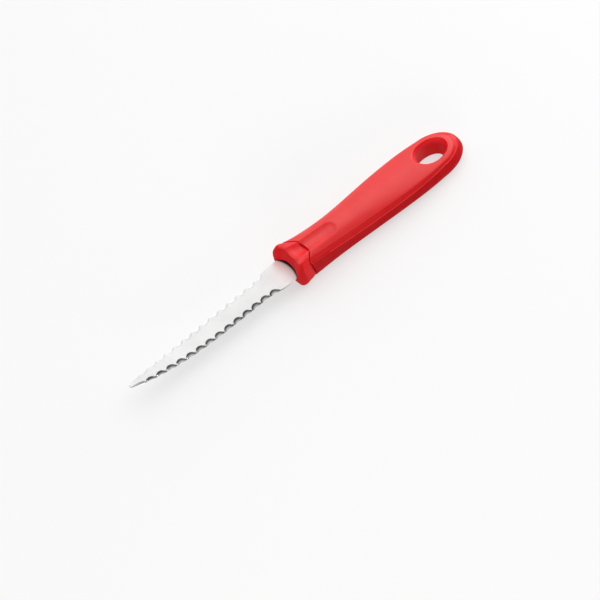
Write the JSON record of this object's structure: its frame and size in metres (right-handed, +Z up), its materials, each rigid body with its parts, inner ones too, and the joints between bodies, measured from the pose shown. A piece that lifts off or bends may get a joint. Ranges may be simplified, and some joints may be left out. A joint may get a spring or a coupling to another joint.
{
  "type": "grapefruit knife",
  "caption": "Grapefruit knife with a thin upswept blade scalloped along both edges, set in a red moulded handle with a thumb recess and a hanging hole, for cutting segments from a halved fruit.",
  "frame": {"origin": "on the surface the handle lies on, under the middle of the knife's length and width", "axes": "+X from the blade's tip towards the hanging hole, +Y across the blade, +Z up out of the thumb recess"},
  "size_m": [0.2292, 0.0252, 0.0223],
  "materials": {
    "blade_steel": "satin stainless steel with ground scallops",
    "collar_plastic": "satin red moulded plastic",
    "upper_shell_plastic": "soft-sheen red moulded plastic",
    "lower_shell_plastic": "soft-sheen red moulded plastic"
  },
  "bodies": {
    "root": {"blade": "blade_steel", "collar": "collar_plastic", "upper_handle_shell": "upper_shell_plastic", "lower_handle_shell": "lower_shell_plastic"}
  },
  "joints": []
}
